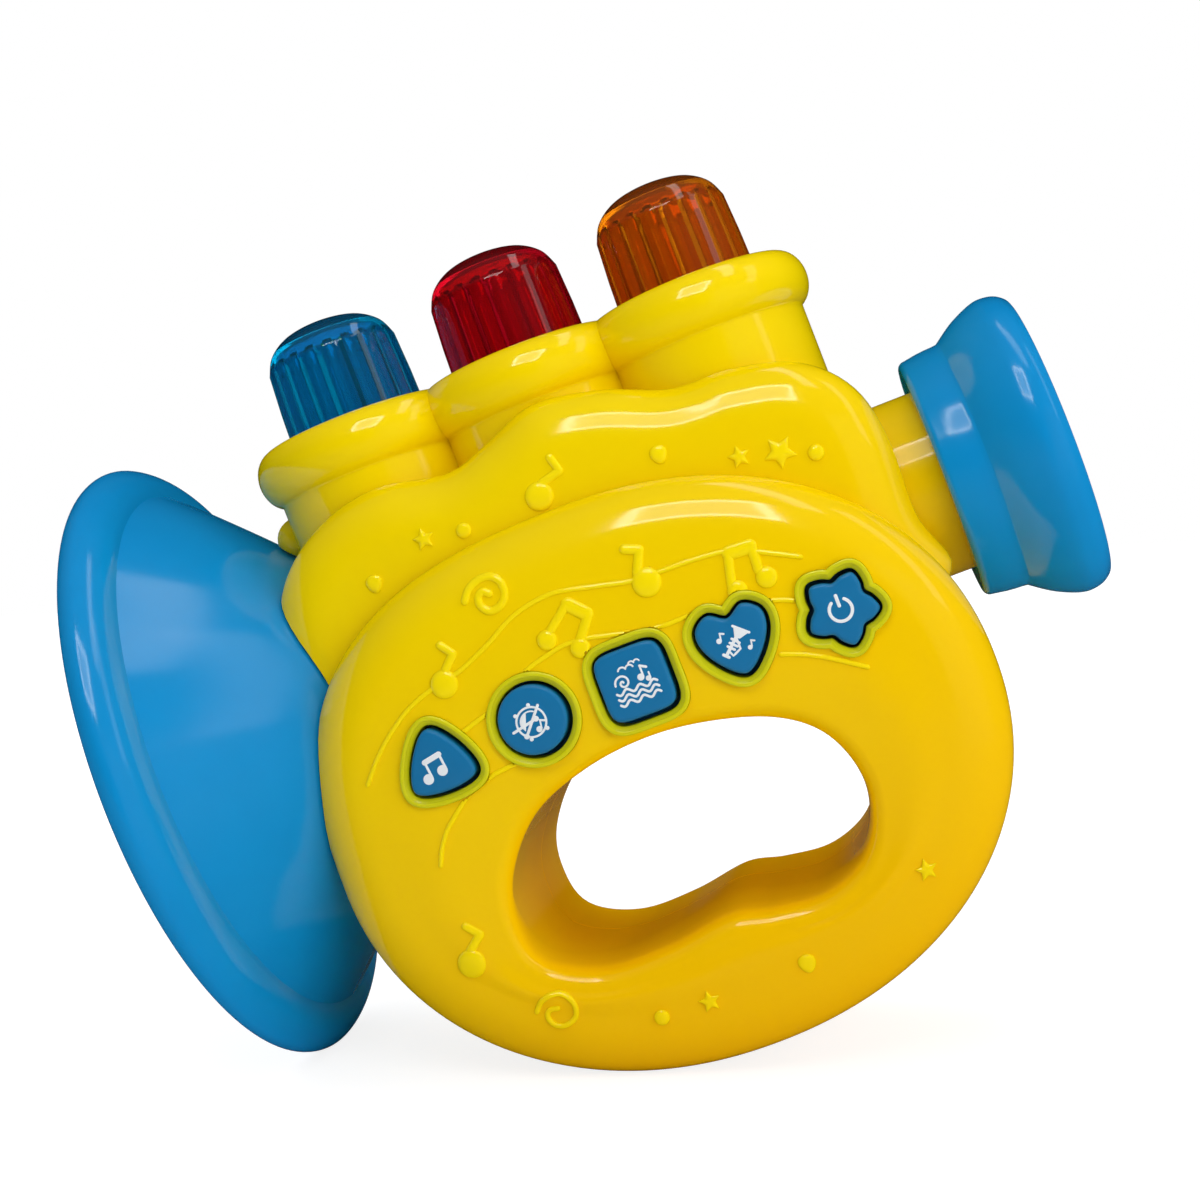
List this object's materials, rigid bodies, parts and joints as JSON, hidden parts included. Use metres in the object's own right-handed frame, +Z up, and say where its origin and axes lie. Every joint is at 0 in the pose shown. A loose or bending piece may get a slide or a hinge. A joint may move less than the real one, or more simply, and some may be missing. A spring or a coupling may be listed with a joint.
{
  "type": "toy trumpet",
  "caption": "Toddler's electronic toy trumpet with lit press-down valve keys, shaped sound buttons, a flared bell, a mouthpiece and a looped hand grip",
  "frame": {"origin": "centre of the bounding box at its bottom, on the floor that the loop and the bell's lip stand on", "axes": "+X along the leaning horn towards the mouthpiece, +Y to the back of the toy, +Z up"},
  "size_m": [0.2096, 0.1328, 0.1796],
  "materials": {
    "body_yellow": "glossy moulded plastic",
    "horn_blue": "glossy moulded plastic",
    "bezel_lime": "satin moulded plastic",
    "button_blue": "matte moulded plastic with a printed picture",
    "board_green": "solder-masked board",
    "membrane_black": "silicone sheet",
    "spring_steel": "spring wire",
    "key_blue_clear": "translucent tinted plastic",
    "key_red_clear": "translucent tinted plastic",
    "key_orange_clear": "translucent tinted plastic",
    "plunger_white": "white moulded plastic",
    "lamp_clear": "clear epoxy",
    "switch_black": "black plastic",
    "cell_sleeve": "printed sleeve",
    "contact_nickel": "nickel plated",
    "speaker_steel": "pressed steel",
    "magnet": "plated magnet",
    "cone_black": "paper cone",
    "screw_steel": "zinc plated"
  },
  "bodies": {
    "trumpet": {"back_shell": "body_yellow", "battery_lower": "cell_sleeve", "battery_upper": "cell_sleeve", "bell": "horn_blue", "bezel_circle": "bezel_lime", "bezel_heart": "bezel_lime", "bezel_square": "bezel_lime", "bezel_star": "bezel_lime", "bezel_triangle": "bezel_lime", "button_board": "board_green", "contact_bridge": "contact_nickel", "contact_lower": "contact_nickel", "contact_upper": "contact_nickel", "front_shell": "body_yellow", "key_spring_blue": "spring_steel", "key_spring_orange": "spring_steel", "key_spring_red": "spring_steel", "keypad_membrane": "membrane_black", "lamp_blue": "lamp_clear", "lamp_orange": "lamp_clear", "lamp_red": "lamp_clear", "mouthpiece": "horn_blue", "shell_screw_1": "screw_steel", "shell_screw_2": "screw_steel", "shell_screw_3": "screw_steel", "shell_screw_4": "screw_steel", "speaker_cone": "cone_black", "speaker_frame": "speaker_steel", "speaker_grille": "horn_blue", "speaker_magnet": "magnet", "switch_blue": "switch_black", "switch_orange": "switch_black", "switch_red": "switch_black", "valve_board": "board_green"},
    "key_blue": {"key_blue": "key_blue_clear", "plunger_blue": "plunger_white"},
    "key_red": {"key_red": "key_red_clear", "plunger_red": "plunger_white"},
    "key_orange": {"key_orange": "key_orange_clear", "plunger_orange": "plunger_white"},
    "button_triangle": {"button_triangle": "button_blue"},
    "button_circle": {"button_circle": "button_blue"},
    "button_square": {"button_square": "button_blue"},
    "button_heart": {"button_heart": "button_blue"},
    "button_star": {"button_star": "button_blue"},
    "battery_door": {"battery_door": "body_yellow", "door_screw": "screw_steel"}
  },
  "joints": [
    {"name": "key_blue_press", "type": "slide", "parent": "trumpet", "child": "key_blue", "axis": [0.2966, 0, -0.955], "range_m": [0, 0.005], "stiffness_N_per_m": 150, "springref_m": -0.004, "deforming": ["key_spring_blue"]},
    {"name": "key_red_press", "type": "slide", "parent": "trumpet", "child": "key_red", "axis": [0.2966, 0, -0.955], "range_m": [0, 0.005], "stiffness_N_per_m": 150, "springref_m": -0.004, "deforming": ["key_spring_red"]},
    {"name": "key_orange_press", "type": "slide", "parent": "trumpet", "child": "key_orange", "axis": [0.2966, 0, -0.955], "range_m": [0, 0.005], "stiffness_N_per_m": 150, "springref_m": -0.004, "deforming": ["key_spring_orange"]},
    {"name": "button_triangle_press", "type": "slide", "parent": "trumpet", "child": "button_triangle", "axis": [0, 1, 0], "range_m": [0, 0.0012], "stiffness_N_per_m": 600, "springref_m": -0.001},
    {"name": "button_circle_press", "type": "slide", "parent": "trumpet", "child": "button_circle", "axis": [0, 1, 0], "range_m": [0, 0.0012], "stiffness_N_per_m": 600, "springref_m": -0.001},
    {"name": "button_square_press", "type": "slide", "parent": "trumpet", "child": "button_square", "axis": [0, 1, 0], "range_m": [0, 0.0012], "stiffness_N_per_m": 600, "springref_m": -0.001},
    {"name": "button_heart_press", "type": "slide", "parent": "trumpet", "child": "button_heart", "axis": [0, 1, 0], "range_m": [0, 0.0012], "stiffness_N_per_m": 600, "springref_m": -0.001},
    {"name": "button_star_press", "type": "slide", "parent": "trumpet", "child": "button_star", "axis": [0, 1, 0], "range_m": [0, 0.0012], "stiffness_N_per_m": 600, "springref_m": -0.001},
    {"name": "battery_door_lift", "type": "slide", "parent": "trumpet", "child": "battery_door", "axis": [0, 1, 0], "range_m": [0, 0.025]}
  ]
}
